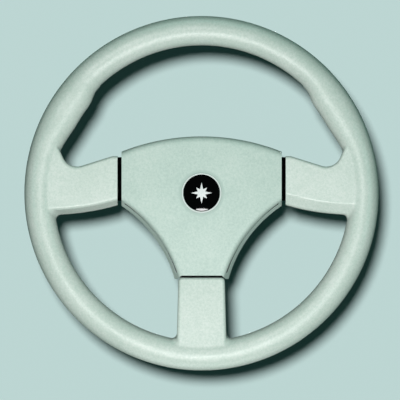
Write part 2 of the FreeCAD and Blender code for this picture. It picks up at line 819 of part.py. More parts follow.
def pad_carrier():
    """The rigid insert behind the pad's skin with its badge boss, ribs and three push-in posts."""
    body = new_body("pad_carrier")
    inset = S.PadWall + S.CarrierClearance
    sheet_sketch = plane_sketch(body, "XZ_Plane", lift=carrier_rear)
    add_outline(sheet_sketch, with_crest(pad_corners(inset), inset))
    extrude(body, "Pad", sheet_sketch, S.CarrierThickness)
    boss = plane_sketch(body, "XZ_Plane", lift=carrier_rear - S.CarrierRibHeight)
    add_circle(boss, boss_outside)
    extrude(body, "Pad", boss, S.CarrierRibHeight)
    for side, (_, rise) in ARMS.items():
        turn = arm_angle(side)
        rib = plane_sketch(body, "XZ_Plane", lift=carrier_rear - S.CarrierRibHeight, turn=turn, rise=rise)
        half = S.CarrierRibThickness / 2
        start = size_of(0) if side != "bottom" else boss_outside / 2 - S.CarrierRibThickness
        add_box_outline(rib, start, -half, S.GrommetReach, half)
        extrude(body, "Pad", rib, S.CarrierRibHeight)
        root_end = plane_sketch(body, "XZ_Plane", lift=arm_front + S.GrommetFlange, turn=turn, rise=rise)
        add_circle(root_end, S.PostRootDiameter, S.GrommetReach)
        extrude(body, "Pad", root_end, carrier_rear - arm_front - S.GrommetFlange)
        post = plane_sketch(body, "XZ_Plane", lift=post_end, turn=turn, rise=rise)
        add_circle(post, S.PostDiameter, S.GrommetReach)
        extrude(body, "Pad", post, arm_front + S.GrommetFlange - post_end)
        bulb = plane_sketch(body, "XZ_Plane", lift=post_end, turn=turn, rise=rise)
        add_circle(bulb, S.PostDiameter + 2 * S.PostBulb, S.GrommetReach)
        extrude(body, "Pad", bulb, S.PostTipLength, backward=True)
    spine = plane_sketch(body, "XZ_Plane", lift=carrier_rear - S.CarrierRibHeight)
    add_box_outline(spine, -S.CarrierRibThickness / 2, 0, S.CarrierRibThickness / 2, S.ArmBase)
    extrude(body, "Pad", spine, S.CarrierRibHeight)
    well = plane_sketch(body, "XZ_Plane", lift=carrier_rear)
    add_circle(well, well_diameter)
    extrude(body, "Pocket", well, S.CarrierRibHeight)
    stem = plane_sketch(body, "XZ_Plane", lift=carrier_rear)
    add_circle(stem, S.BadgeStemDiameter)
    extrude(body, "Pocket", stem, S.CarrierThickness, backward=True)

    def bulb_tip(middle, way, edge):
        return near(middle.y, S.PostTipLength - post_end)

    bevel(body, bulb_tip, S.PostTipBevel)
    return body


def badge_cap():
    """The domed black badge with its stem."""
    body = new_body("badge_cap")
    seat = pad_front - S.BadgeSeat
    rim = S.BadgeDiameter / 2
    dome = (rim * rim + S.BadgeDome * S.BadgeDome) / (2 * S.BadgeDome)
    half = plane_sketch(body, "XY_Plane")
    add_outline(half, [
        (0, -(seat - S.BadgeStemLength)),
        (S.BadgeStemDiameter / 2, -(seat - S.BadgeStemLength)),
        (S.BadgeStemDiameter / 2, -seat),
        (rim, -seat),
        (rim, -pad_front, dome, -1),
        (0, -(pad_front + S.BadgeDome)),
    ])
    turn_profile(body, "Revolution", half)

    def edge_of_dome(middle, way, edge):
        return near(middle.y, -pad_front) and near(math.hypot(middle.x, middle.z), rim)

    soften(body, edge_of_dome, S.BadgeEdgeRounding)
    return body


def badge_clip():
    """The push-on star washer that holds the badge's stem."""
    body = new_body("badge_clip")
    disc = plane_sketch(body, "XZ_Plane", lift=carrier_rear - S.ClipThickness)
    add_circle(disc, S.ClipDiameter)
    add_circle(disc, S.BadgeStemDiameter)
    extrude(body, "Pad", disc, S.ClipThickness)
    tooth = plane_sketch(body, "XZ_Plane", lift=carrier_rear - S.ClipThickness)
    add_box_outline(tooth, 0, -S.ClipSlotWidth / 2, S.ClipSlotReach, S.ClipSlotWidth / 2)
    first = extrude(body, "Pocket", tooth, S.ClipThickness, backward=True)
    repeat_round(body, first, S.ClipTeeth)
    return body


def slant_front(body, turn, start):
    """Cut a spoke's front to a plane that rises from its inner end towards the rim."""
    high = spoke_front + S.SpokeRise
    wedge = plane_sketch(body, "XY_Plane", turn=turn)
    add_outline(wedge, [
        (start, -spoke_front),
        (tube_radius, -high),
        (tube_radius, -(high + PAST)),
        (start, -(high + PAST)),
    ])
    extrude(body, "Pocket", wedge, S.WheelDiameter, both_ways=True)


def side_spoke_skin(side):
    """One side spoke of the moulding, with a pocket under the thumb grip and a bevelled lower edge."""
    body = new_body("spoke_skin_" + side)
    slope = S.SpokeTopSlope
    shoulder_x = spoke_root + S.SpokeShoulder
    corner_x = tube_radius - S.CornerArcInset
    corner_z = S.SpokeRootTop - tangent(slope) * (corner_x - shoulder_x)
    climb = S.CornerArcTurn - slope
    arc_x = corner_x + S.CornerArcRadius * (sine(slope) + sine(climb))
    arc_z = corner_z + S.CornerArcRadius * (cosine(slope) - cosine(climb))
    # Way along the pocket's wall from the arc's end to the rim's centre line.
    along = arc_x * cosine(climb) + arc_z * sine(climb)
    way = root(along * along - arc_x * arc_x - arc_z * arc_z + tube_radius * tube_radius) - along
    belly_x = spoke_root + S.SpokeBellyRadius * (sine(S.SpokeBellySlope) - sine(S.SpokeRimSlope))
    belly_z = S.SpokeRootBottom - S.SpokeBellyRadius * (cosine(S.SpokeRimSlope) - cosine(S.SpokeBellySlope))
    corners = [
        (spoke_root, S.SpokeRootTop),
        (spoke_root, S.SpokeRootBottom, S.SpokeBellyRadius, 1),
        (belly_x, belly_z),
        (tube_radius, belly_z - tangent(S.SpokeRimSlope) * (tube_radius - belly_x)),
        (arc_x + way * cosine(climb), arc_z + way * sine(climb)),
        (arc_x, arc_z, S.CornerArcRadius, -1),
        (corner_x, corner_z),
        (shoulder_x, S.SpokeRootTop),
    ]
    outline = plane_sketch(body, "XZ_Plane", lift=spoke_rear)
    add_outline(outline, corners if side == "right" else reflected(corners))
    extrude(body, "Pad", outline, spoke_front + S.SpokeRise - spoke_rear)
    slant_front(body, size_of(0 if side == "right" else 180), spoke_root)

    def lengthwise(middle, way):
        inside = spoke_root.value < abs(middle.x) < tube_radius.value - 1
        return inside and abs(way.x) > 1 and abs(way.y) < abs(way.x)

    def lower_front(middle, way, edge):
        return lengthwise(middle, way) and -middle.y > spoke_front.value and middle.z < 0

    def upper_front(middle, way, edge):
        return lengthwise(middle, way) and -middle.y > spoke_front.value and middle.z > 0

    def rear(middle, way, edge):
        return lengthwise(middle, way) and near(middle.y, -spoke_rear)

    def bevel_edges(middle, way, edge):
        ridge = spoke_rear.value + S.SpokeRearRounding.value < -middle.y
        return lengthwise(middle, way) and ridge and middle.z < 0

    bevel(body, lower_front, S.SpokeBevelWidth, S.SpokeBevelDepth)
    soften(body, bevel_edges, S.SpokeBevelRounding)
    soften(body, upper_front, S.SpokeUpperRounding)
    soften(body, rear, S.SpokeRearRounding)
    return body


def bottom_spoke_skin():
    """The bottom spoke of the moulding."""
    body = new_body("spoke_skin_bottom")
    outline = plane_sketch(body, "XZ_Plane", lift=spoke_rear)
    add_outline(outline, [
        (S.LowerSpokeRootHalf, -lower_root),
        (S.LowerSpokeRimHalf, -tube_radius),
        (-S.LowerSpokeRimHalf, -tube_radius),
        (-S.LowerSpokeRootHalf, -lower_root),
    ])
    extrude(body, "Pad", outline, spoke_front + S.SpokeRise - spoke_rear)
    slant_front(body, size_of(90), lower_root)

    def root_corner(middle, way, edge):
        return near(middle.z, -lower_root) and abs(way.y) > S.LowerSpokeCorner.value

    def sides(middle, way, edge):
        inside = lower_root.value + S.LowerSpokeCorner.value < -middle.z < tube_radius.value - 1
        return inside and abs(way.y) < abs(way.z)

    soften(body, root_corner, S.LowerSpokeCorner)
    soften(body, sides, S.SpokeRearRounding)
    return body


def swell_at(angle):
    """How far the thumb grip bulges inward at an angle above the horizontal."""
    rise = (angle - S.ThumbLowAngle.value) / S.ThumbLowRamp.value
    fall = (S.ThumbHighAngle.value - angle) / S.ThumbHighRamp.value
    swell = S.ThumbSwell.value
    for share in (rise, fall):
        swell *= (1 - math.cos(math.pi * min(max(share, 0), 1))) / 2
    return swell


def rim_section(angle):
    """The rim's cross-section at an angle; a swollen one grows inward from the same outer edge."""
    turn = math.radians(angle)
    outward = FreeCAD.Vector(math.cos(turn), 0, math.sin(turn))
    forward = FreeCAD.Vector(0, -1, 0)
    swell = swell_at(angle if angle < 90 else 180 - angle)
    wide = grip_radius.value + swell / 2
    centre = outward * (rim_radius.value - wide) + forward * S.RimDepth.value
    if swell < 1e-6:
        curve = Part.Circle(centre, outward.cross(forward), wide)
        curve.XAxis = outward
    else:
        curve = Part.Ellipse(centre + outward * wide, centre + forward * grip_radius.value, centre)
    return Part.Wire([curve.toShape()])


def rim_tube():
    """The whole grip: two plain arcs of the round tube and two lofted thumb grips between them."""
    low = S.ThumbLowAngle.value
    high = S.ThumbHighAngle.value
    pieces = []
    for first, last in ((high, 180 - high), (180 - low, 360 + low)):
        section = Part.Face(rim_section(first))
        pivot = FreeCAD.Vector(0, -S.RimDepth.value, 0)
        pieces.append(section.revolve(pivot, FreeCAD.Vector(0, -1, 0), last - first))
    for first, last in ((low, high), (180 - high, 180 - low)):
        stations = [first + (last - first) * step / THUMB_STEPS for step in range(THUMB_STEPS + 1)]
        pieces.append(Part.makeLoft([rim_section(at) for at in stations], True, False, False))
    tube = doc.addObject("Part::Feature", "rim_tube")
    tube.Label = "rim_tube"
    tube.Shape = pieces[0].fuse(pieces[1:]).removeSplitter()
    return tube


def rim_grip(core):
    """The one-piece soft moulding over the core: rim, thumb grips and three blended spokes."""
    tube = rim_tube()
    skins = [side_spoke_skin("right"), side_spoke_skin("left"), bottom_spoke_skin()]
    whole = doc.addObject("Part::MultiFuse", "grip_joined")
    whole.Shapes = [tube] + skins
    whole.Refine = True
    doc.recompute()
    shape = whole.Shape
    surface = Part.makeCompound(tube.Shape.Faces)
    on_tube = {}
    for face in shape.Faces:
        u0, u1, v0, v1 = face.ParameterRange
        inside = face.valueAt((u0 + u1) / 2, (v0 + v1) / 2)
        gap = surface.distToShape(Part.Vertex(inside))[0]
        on_tube[face.hashCode()] = gap < 1e-3
    seam = []
    for number, edge in enumerate(shape.Edges, start=1):
        sides = shape.ancestorsOfType(edge, Part.Face)
        if sum(on_tube.get(face.hashCode(), False) for face in sides) == 1 and len(sides) == 2:
            seam.append((number, S.RimBlendRadius.value, S.RimBlendRadius.value))
    blended = doc.addObject("Part::Fillet", "grip_blended")
    blended.Base = whole
    blended.Edges = seam
    doc.recompute()
    grip = doc.addObject("Part::Cut", "rim_grip")
    grip.Label = "rim_grip"
    grip.Base = blended
    grip.Tool = core
    doc.recompute()
    return grip


ring = ring_core()
arms = [spoke_arm(side, ring) for side in ARMS]
core = doc.addObject("Part::MultiFuse", "moulded_in_core")
core.Shapes = [ring] + arms
doc.recompute()

nodes = [ring] + arms
nodes.append(rim_grip(core))
nodes.append(hub_plate())
nodes.append(hub_boss())
nodes.append(bolt_circle(hub_screw(), "hub_screws"))
nodes.append(bolt_circle(washer(), "hub_lock_washers"))
nodes.append(centre_pad())
nodes.append(pad_carrier())
nodes += [grommet(number, side) for number, side in enumerate(ARMS, start=1)]
nodes.append(badge_cap())
nodes.append(badge_clip())
doc.recompute()

for item in doc.Objects:
    if "Invalid" in item.State or "Error" in item.State:
        raise RuntimeError(f"{item.Name} failed: {item.State}")
for node in nodes:
    if node.Shape.isNull() or not node.Shape.isValid():
        raise RuntimeError(f"{node.Label} has no valid shape")

os.makedirs("parts", exist_ok=True)
for node in nodes:
    node.Shape.exportStep(f"parts/{node.Label}.step")
    print(node.Label, len(node.Shape.Solids), round(node.Shape.Volume / 1000, 2), "cm3")
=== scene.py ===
import math

import bmesh
import bpy
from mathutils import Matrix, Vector


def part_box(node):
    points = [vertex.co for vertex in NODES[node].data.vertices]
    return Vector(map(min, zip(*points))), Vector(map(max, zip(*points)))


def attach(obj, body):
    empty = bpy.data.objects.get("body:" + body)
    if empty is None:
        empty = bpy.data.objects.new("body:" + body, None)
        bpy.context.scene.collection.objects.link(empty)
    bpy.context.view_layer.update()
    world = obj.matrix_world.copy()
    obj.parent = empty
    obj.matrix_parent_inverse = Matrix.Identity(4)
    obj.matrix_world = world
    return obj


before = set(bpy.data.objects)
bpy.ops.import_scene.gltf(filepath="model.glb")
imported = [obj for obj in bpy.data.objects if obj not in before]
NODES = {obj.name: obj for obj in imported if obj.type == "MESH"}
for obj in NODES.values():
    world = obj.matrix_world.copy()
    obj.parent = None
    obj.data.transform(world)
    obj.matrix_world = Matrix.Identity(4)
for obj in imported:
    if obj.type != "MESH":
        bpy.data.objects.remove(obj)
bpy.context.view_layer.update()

# Boat steering wheel.  The wheel axis is Y, the driver's side faces -Y and +Z is twelve o'clock.
# Lengths are in metres.  A depth is a distance forward of the hub's rear face, so y is minus it.
MM = 0.001

# Sizes of the wheel.
rim_low, rim_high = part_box("rim_grip")
badge_low, badge_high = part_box("badge_cap")
rim_outer = (rim_high.x - rim_low.x) / 2
rim_plane_y = (rim_high.y + rim_low.y) / 2
badge_radius = (badge_high.x - badge_low.x) / 2
plate_front_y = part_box("hub_plate")[0].y


# Colours, as linear values

def srgb(red, green, blue):
    """A colour given as 0 to 255 screen values, turned linear."""
    def linear(value):
        value /= 255
        return value / 12.92 if value <= 0.04045 else ((value + 0.055) / 1.055) ** 2.4
    return (linear(red), linear(green), linear(blue), 1)


def grey(value):
    """An even grey."""
    return (value, value, value)


GRIP_COLOUR = srgb(208, 223, 213)
GRIP_SHADE = srgb(196, 214, 203)
GRIP_LIGHT = srgb(220, 231, 223)
PAD_COLOUR = srgb(199, 219, 209)
PAD_SHADE = srgb(188, 210, 200)
PAD_LIGHT = srgb(210, 226, 217)
# Painted shade in a ring round the badge lip, and a painted highlight on the lip itself.
LIP_PAINTED_SHADE = srgb(181, 204, 194)
LIP_PAINTED_HIGHLIGHT = srgb(228, 238, 233)
ENAMEL_DULL = srgb(226, 230, 229)
ENAMEL_WHITE = srgb(248, 250, 249)
BACKGROUND = srgb(189, 214, 211)
SHADOW_FLOOR = srgb(8, 33, 30)
WHITE = (1, 1, 1)
ROSE = (1, 0.94, 0.95)
FAINT_ROSE = (1, 0.95, 0.96)
MINT = (0.87, 1.0, 0.96)
TEAL = (0.42, 1.0, 0.86)


# Node helpers

def empty_tree(owner):
    """The cleared node tree of a material or of the surroundings."""
    owner.use_nodes = True
    owner.node_tree.nodes.clear()
    return owner.node_tree


def new_material(name):
    """An empty node material with its output and Principled shader."""
    material = bpy.data.materials.new(name)
    tree = empty_tree(material)
    output = tree.nodes.new("ShaderNodeOutputMaterial")
    shader = tree.nodes.new("ShaderNodeBsdfPrincipled")
    join(tree, shader.outputs[0], output.inputs[0])
    return material, tree, shader


def add(tree, kind, **values):
    """A node with its properties and its input values set."""
    node = tree.nodes.new(kind)
    for key, value in values.items():
        if hasattr(node, key):
            setattr(node, key, value)
        else:
            node.inputs[key].default_value = value
    return node


def join(tree, start, end):
    """Link two sockets."""
    tree.links.new(start, end)


def ramp(tree, factor, stops):
    """A colour ramp fed by a factor; each stop is (place, colour)."""
    node = tree.nodes.new("ShaderNodeValToRGB")
    elements = node.color_ramp.elements
    while len(elements) < len(stops):
        elements.new(0.5)
    for element, (place, colour) in zip(elements, stops):
        element.position = place
        element.color = colour if len(colour) == 4 else (*colour, 1)
    join(tree, factor, node.inputs["Fac"])
    return node.outputs["Color"]


def ramp_into(tree, shader, label, factor, stops):
    """Feed one input of the shader from a colour ramp."""
    join(tree, ramp(tree, factor, stops), shader.inputs[label])


def maths(tree, operation, a, b=None):
    """A math node on sockets or numbers."""
    node = tree.nodes.new("ShaderNodeMath")
    node.operation = operation
    for socket, value in zip(node.inputs, (a, b)):
        if value is None:
            continue
        if hasattr(value, "is_output"):
            join(tree, value, socket)
        else:
            socket.default_value = value
    return node.outputs[0]


def blend_of(tree, first, first_share, second, second_share):
    """Two values added, each times its share."""
    return maths(
        tree, "ADD",
        maths(tree, "MULTIPLY", first, first_share),
        maths(tree, "MULTIPLY", second, second_share),
    )


def remap(tree, value, start, stop, first=0.0, last=1.0, easing="SMOOTHSTEP"):
    """Lead a value that runs from start to stop over to first and last."""
    node = tree.nodes.new("ShaderNodeMapRange")
    node.interpolation_type = easing
    join(tree, value, node.inputs["Value"])
    limits = {"From Min": start, "From Max": stop, "To Min": first, "To Max": last}
    for label, limit in limits.items():
        node.inputs[label].default_value = limit
    return node.outputs["Result"]


def mix_by(tree, factor, first, second, output):
    """Lead two shaders, mixed by a factor, to the output."""
    mix = tree.nodes.new("ShaderNodeMixShader")
    join(tree, factor, mix.inputs[0])
    join(tree, first.outputs[0], mix.inputs[1])
    join(tree, second.outputs[0], mix.inputs[2])
    join(tree, mix.outputs[0], output.inputs[0])


def object_coordinates(tree):
    """The surface's own place in metres."""
    return tree.nodes.new("ShaderNodeTexCoord").outputs["Object"]


def split_place(tree, place):
    """A place split into its distances along X, Y and Z."""
    split = tree.nodes.new("ShaderNodeSeparateXYZ")
    join(tree, place, split.inputs[0])
    return split


def axis_distance(tree, split):
    """How far a split place is from the wheel axis."""
    squares = [maths(tree, "MULTIPLY", split.outputs[way], split.outputs[way]) for way in "XZ"]
    return maths(tree, "SQRT", maths(tree, "ADD", *squares))


def noise(tree, place, **values):
    """A noise texture at a place."""
    node = add(tree, "ShaderNodeTexNoise", **values)
    join(tree, place, node.inputs["Vector"])
    return node


def emboss(tree, shader, height, strength, depth, normal=None):
    """Raise the shader's surface by a height socket."""
    bump = add(tree, "ShaderNodeBump", Strength=strength, Distance=depth)
    if normal is not None:
        join(tree, normal, bump.inputs["Normal"])
    join(tree, height, bump.inputs["Height"])
    join(tree, bump.outputs["Normal"], shader.inputs["Normal"])


def new_group(name, inputs, outputs):
    """A shader node group with named float, colour or vector sockets."""
    group = bpy.data.node_groups.new(name, "ShaderNodeTree")
    for label, kind, value in inputs:
        socket = group.interface.new_socket(label, in_out="INPUT", socket_type="NodeSocket" + kind)
        if value is not None:
            socket.default_value = value
    for label, kind in outputs:
        group.interface.new_socket(label, in_out="OUTPUT", socket_type="NodeSocket" + kind)
    return group, group.nodes.new("NodeGroupInput"), group.nodes.new("NodeGroupOutput")


def use_group(tree, group, place, **values):
    """Lay a group over a material's own place, with its own values."""
    node = tree.nodes.new("ShaderNodeGroup")
    node.node_tree = group
    for key, value in values.items():
        node.inputs[key].default_value = value
    join(tree, place, node.inputs["Vector"])
    return node


def make_grain_group():
    """Moulded leather grain: small rounded cells with fine pores, and a mottle of shade."""
    group, given, result = new_group(
        "moulded_grain",
        [
            ("Vector", "Vector", None),
            ("Cell size", "Float", 0.0011),
            ("Pore size", "Float", 0.00035),
        ],
        [("Height", "Float"), ("Mottle", "Float")],
    )
    place = given.outputs["Vector"]
    warp_reach, cell_roundness = 0.0006, 0.24
    cell_share, pore_share = 3.2, 0.5
    fine_share, broad_share = 0.72, 0.28
    warp = noise(group, place, Scale=420.0, Detail=2.0)
    shift = add(group, "ShaderNodeVectorMath", operation="MULTIPLY_ADD")
    join(group, warp.outputs["Color"], shift.inputs[0])
    shift.inputs[1].default_value = (warp_reach,) * 3
    join(group, place, shift.inputs[2])
    cells = add(group, "ShaderNodeTexVoronoi", feature="DISTANCE_TO_EDGE")
    join(group, shift.outputs[0], cells.inputs["Vector"])
    join(group, maths(group, "DIVIDE", 1.0, given.outputs["Cell size"]), cells.inputs["Scale"])
    rounded = maths(group, "SMOOTH_MIN", cells.outputs["Distance"], cell_roundness)
    pores = noise(group, place, Detail=3.0)
    join(group, maths(group, "DIVIDE", 1.0, given.outputs["Pore size"]), pores.inputs["Scale"])
    height = blend_of(group, rounded, cell_share, pores.outputs["Fac"], pore_share)
    join(group, height, result.inputs["Height"])
    fine = noise(group, place, Scale=430.0, Detail=4.0, Roughness=0.8)
    broad = noise(group, place, Scale=26.0, Detail=3.0)
    mottle = blend_of(group, fine.outputs["Fac"], fine_share, broad.outputs["Fac"], broad_share)
    join(group, mottle, result.inputs["Mottle"])
    return group


def make_dust_group():
    """Fine dust and light scuffs that settle unevenly over a hard surface."""
    group, given, result = new_group(
        "dust_and_scuffs",
        [("Vector", "Vector", None), ("Scale", "Float", 60.0)],
        [("Dust", "Float"), ("Scuff", "Float")],
    )
    place = given.outputs["Vector"]
    clean_share, scuff_stretch = 0.45, (1.0, 1.0, 9.0)
    dust = noise(group, place, Detail=6.0, Roughness=0.65)
    join(group, given.outputs["Scale"], dust.inputs["Scale"])
    settled = maths(group, "SUBTRACT", dust.outputs["Fac"], clean_share)
    join(group, maths(group, "SMOOTH_MAX", settled, 0.0), result.inputs["Dust"])
    streak = add(group, "ShaderNodeVectorMath", operation="MULTIPLY")
    streak.inputs[1].default_value = scuff_stretch
    join(group, place, streak.inputs[0])
    scuff = noise(group, streak.outputs[0], Scale=90.0, Detail=5.0, Roughness=0.7)
    join(group, scuff.outputs["Fac"], result.inputs["Scuff"])
    return group


GRAIN = make_grain_group()
DUST = make_dust_group()


# Materials

def ring_mask(tree, place, inner, outer, soft):
    """White between two distances from the wheel axis, with soft edges."""
    away = axis_distance(tree, split_place(tree, place))
    begun = remap(tree, away, inner - soft, inner)
    ended = remap(tree, away, outer, outer + soft)
    return maths(tree, "MULTIPLY", begun, maths(tree, "SUBTRACT", 1.0, ended))


def tint(tree, colour, factor, other):
    """Mix a colour towards another by a factor socket."""
    mix = add(tree, "ShaderNodeMix", data_type="RGBA")
    first, second, mixed = mix.inputs[6], mix.inputs[7], mix.outputs[2]
    join(tree, factor, mix.inputs["Factor"])
    join(tree, colour, first)
    second.default_value = other
    return mixed


def parting_line(tree, place):
    """White on the fine line where the two halves of the mould met."""
    off_plane = maths(tree, "SUBTRACT", split_place(tree, place).outputs["Y"], rim_plane_y)
    away = maths(tree, "ABSOLUTE", off_plane)
    return remap(tree, away, 0.1 * MM, 0.5 * MM, first=1.0, last=0.0)


def paint_lip_shade_and_highlight(tree, place, colour):
    """The pad's lip round the badge, with a painted highlight on the lip and a painted shade in a
    ring outside it.
    """
    # Painted shade: a darker ring just outside the lip, where shade falls round the badge.
    shade = ring_mask(tree, place, badge_radius + 1.8 * MM, badge_radius + 3.4 * MM, 2.4 * MM)
    colour = tint(tree, colour, maths(tree, "MULTIPLY", shade, 0.8), LIP_PAINTED_SHADE)
    # Painted highlight: the lip is drawn lighter, as if it caught the light.
    lip_highlight = ring_mask(tree, place, badge_radius, badge_radius + 1.5 * MM, 0.15 * MM)
    return tint(tree, colour, lip_highlight, LIP_PAINTED_HIGHLIGHT)


def soft_moulding(name, base, shade, light, gloss, lip=False):
    """Satin grey polyurethane with a fine leather grain and a raised mould seam drawn lighter as a
    painted highlight; the pad has a painted shade and highlight round its badge lip.
    """
    material, tree, shader = new_material(name)
    place = object_coordinates(tree)
    edge_radius, seam_highlight_share = 0.6 * MM, 0.3
    grain_strength, grain_depth = 0.35, 0.00022
    dull, glossy = 0.65 - 0.4 * gloss, 0.57 - 0.4 * gloss
    grain = use_group(tree, GRAIN, place)
    mottle = grain.outputs["Mottle"]
    colour = ramp(tree, mottle, [(0.38, shade), (0.5, base), (0.62, light)])
    if lip:
        colour = paint_lip_shade_and_highlight(tree, place, colour)
    seam = parting_line(tree, place)
    # The seam is raised in the bump, and its colour is lightened as a painted highlight.
    colour = tint(tree, colour, maths(tree, "MULTIPLY", seam, seam_highlight_share), light)
    join(tree, colour, shader.inputs["Base Color"])
    rough = remap(tree, mottle, 0.3, 0.7, first=dull, last=glossy, easing="LINEAR")
    join(tree, rough, shader.inputs["Roughness"])
    edges = add(tree, "ShaderNodeBevel", samples=8, Radius=edge_radius)
    height = maths(tree, "ADD", grain.outputs["Height"], seam)
    emboss(tree, shader, height, grain_strength, grain_depth, edges.outputs["Normal"])
    shader.inputs["Specular IOR Level"].default_value = gloss
    return material


def black_paint():
    """Satin black paint on pressed steel, with dust and faint orange peel."""
    material, tree, shader = new_material("satin_black_paint")
    place = object_coordinates(tree)
    clean, dusty = (0.004, 0.004, 0.0042), (0.02, 0.02, 0.021)
    smooth, scuffed = grey(0.32), grey(0.5)
    dust = use_group(tree, DUST, place, Scale=70.0)
    ramp_into(tree, shader, "Base Color", dust.outputs["Dust"], [(0.0, clean), (0.35, dusty)])
    ramp_into(tree, shader, "Roughness", dust.outputs["Scuff"], [(0.3, smooth), (0.7, scuffed)])
    peel = noise(tree, place, Scale=900.0, Detail=2.0)
    emboss(tree, shader, peel.outputs["Fac"], strength=0.25, depth=0.0001)
    return material


def turned_metal(name, low, high, ring_size, roughness):
    """Lathe-turned metal: fine rings about the wheel axis, with stains between them."""
    material, tree, shader = new_material(name)
    place = object_coordinates(tree)
    dull, bright = grey(roughness + 0.12), grey(roughness)
    ring_share, stain_share = 0.6, 0.4
    split = split_place(tree, place)
    along = maths(tree, "ADD", axis_distance(tree, split), split.outputs["Y"])
    rings = add(tree, "ShaderNodeTexNoise", noise_dimensions="1D", Detail=3.0)
    rings.inputs["Scale"].default_value = 1.0 / ring_size
    join(tree, along, rings.inputs["W"])
    dust = use_group(tree, DUST, place, Scale=45.0)
    mixed = blend_of(tree, rings.outputs["Fac"], ring_share, dust.outputs["Scuff"], stain_share)
    ramp_into(tree, shader, "Base Color", mixed, [(0.3, low), (0.7, high)])
    ramp_into(tree, shader, "Roughness", mixed, [(0.3, dull), (0.7, bright)])
    emboss(tree, shader, rings.outputs["Fac"], strength=0.3, depth=0.00005)
    shader.inputs["Metallic"].default_value = 1.0
    return material


def plain_moulding(name, low, high, rough_low, rough_high, grain_scale, depth):
    """A hard or rubbery dark moulding with a fine spark-eroded texture and dust."""
    material, tree, shader = new_material(name)
    place = object_coordinates(tree)
    bright, dull = grey(rough_low), grey(rough_high)
    dust = use_group(tree, DUST, place, Scale=55.0)
    ramp_into(tree, shader, "Base Color", dust.outputs["Dust"], [(0.0, low), (0.4, high)])
    ramp_into(tree, shader, "Roughness", dust.outputs["Scuff"], [(0.3, bright), (0.7, dull)])
    texture = noise(tree, place, Scale=grain_scale, Detail=3.0)
    emboss(tree, shader, texture.outputs["Fac"], strength=0.4, depth=depth)
    return material


def badge_gloss():
    """Deep glossy black with a clear coat and the faintest dust."""
    material, tree, shader = new_material("badge_gloss_black")
    place = object_coordinates(tree)
    clean, dusty = (0.001, 0.001, 0.0012), (0.006, 0.006, 0.0065)
    dust = use_group(tree, DUST, place, Scale=140.0).outputs["Dust"]
    ramp_into(tree, shader, "Base Color", dust, [(0.0, clean), (0.5, dusty)])
    ramp_into(tree, shader, "Roughness", dust, [(0.0, grey(0.03)), (0.5, grey(0.1))])
    shader.inputs["Coat Weight"].default_value = 1.0
    shader.inputs["Coat Roughness"].default_value = 0.01
    return material


def badge_print():
    """White enamel of the badge's compass rose."""
    material, tree, shader = new_material("badge_white_enamel")
    speck = noise(tree, object_coordinates(tree), Scale=1500.0, Detail=3.0)
    enamel = [(0.3, ENAMEL_DULL), (0.7, ENAMEL_WHITE)]
    ramp_into(tree, shader, "Base Color", speck.outputs["Fac"], enamel)
    shader.inputs["Roughness"].default_value = 0.28
    return material


def dress(node, material):
    """Give a piece of the wheel its finish."""
    mesh = NODES[node].data
    mesh.materials.clear()
    mesh.materials.append(material)


soft_grip = soft_moulding(
    "soft_grip_polyurethane", GRIP_COLOUR, GRIP_SHADE, GRIP_LIGHT, gloss=0.75)
soft_pad = soft_moulding(
    "soft_pad_polyurethane", PAD_COLOUR, PAD_SHADE, PAD_LIGHT, gloss=0.45, lip=True)
paint = black_paint()
boss_metal = turned_metal(
    "turned_aluminium", (0.46, 0.47, 0.48), (0.66, 0.67, 0.68), ring_size=0.0003, roughness=0.28)
screw_metal = turned_metal(
    "plated_steel", (0.42, 0.42, 0.41), (0.6, 0.6, 0.58), ring_size=0.0002, roughness=0.25)
carrier_plastic = plain_moulding(
    "carrier_plastic", (0.016, 0.016, 0.017), (0.05, 0.05, 0.05),
    rough_low=0.5, rough_high=0.62, grain_scale=1600.0, depth=0.00008)
grommet_rubber = plain_moulding(
    "grommet_rubber", (0.012, 0.012, 0.012), (0.06, 0.058, 0.055),
    rough_low=0.6, rough_high=0.8, grain_scale=700.0, depth=0.00015)

dress("rim_grip", soft_grip)
dress("centre_pad", soft_pad)
for name in ("core_ring", "spoke_arm_right", "spoke_arm_left", "spoke_arm_bottom", "hub_plate"):
    dress(name, paint)
dress("hub_boss", boss_metal)
for name in ("hub_screws", "hub_lock_washers", "badge_clip"):
    dress(name, screw_metal)
dress("pad_carrier", carrier_plastic)
for number in (1, 2, 3):
    dress(f"pad_grommet_{number}", grommet_rubber)
dress("badge_cap", badge_gloss())


# Pieces

def finish_piece(name, mesh, material):
    """Put a mesh in the scene as a piece of the wheel."""
    mesh.materials.clear()
    mesh.materials.append(material)
    piece = bpy.data.objects.new(name, mesh)
    bpy.context.scene.collection.objects.link(piece)
    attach(piece, "root")
    return piece


def dome_y(x, z):
    """Front of the domed badge at a place on it."""
    dome_height = 1.6 * MM
    sphere = (badge_radius ** 2 + dome_height ** 2) / (2 * dome_height)
    return badge_low.y + sphere - math.sqrt(sphere ** 2 - x * x - z * z)


def rose_outline():
    """Corners of the compass rose: long points, short points, and a waist between them."""
    long_point, short_point, waist = 10.4 * MM, 7.6 * MM, 4.0 * MM
    corners = []
    for index in range(16):
        angle = math.pi / 2 + index * math.pi / 8
        reach = waist if index % 2 else (long_point if index % 4 == 0 else short_point)
        corners.append((reach * math.cos(angle), reach * math.sin(angle)))
    return corners


def rose_layer(shape, corners, offset):
    """One face of the rose, resting on the dome; returns its outermost ring."""
    rows, count = 8, len(corners)
    rings = []
    for row in range(1, rows + 1):
        share = row / rows
        rings.append([
            shape.verts.new((x * share, dome_y(x * share, z * share) + offset, z * share))
            for x, z in corners
        ])
    middle = shape.verts.new((0, dome_y(0, 0) + offset, 0))
    for i in range(count):
        shape.faces.new([middle, rings[0][i], rings[0][(i + 1) % count]])
    for inner, outer in zip(rings, rings[1:]):
        for i in range(count):
            j = (i + 1) % count
            shape.faces.new([inner[i], outer[i], outer[j], inner[j]])
    return rings[-1]


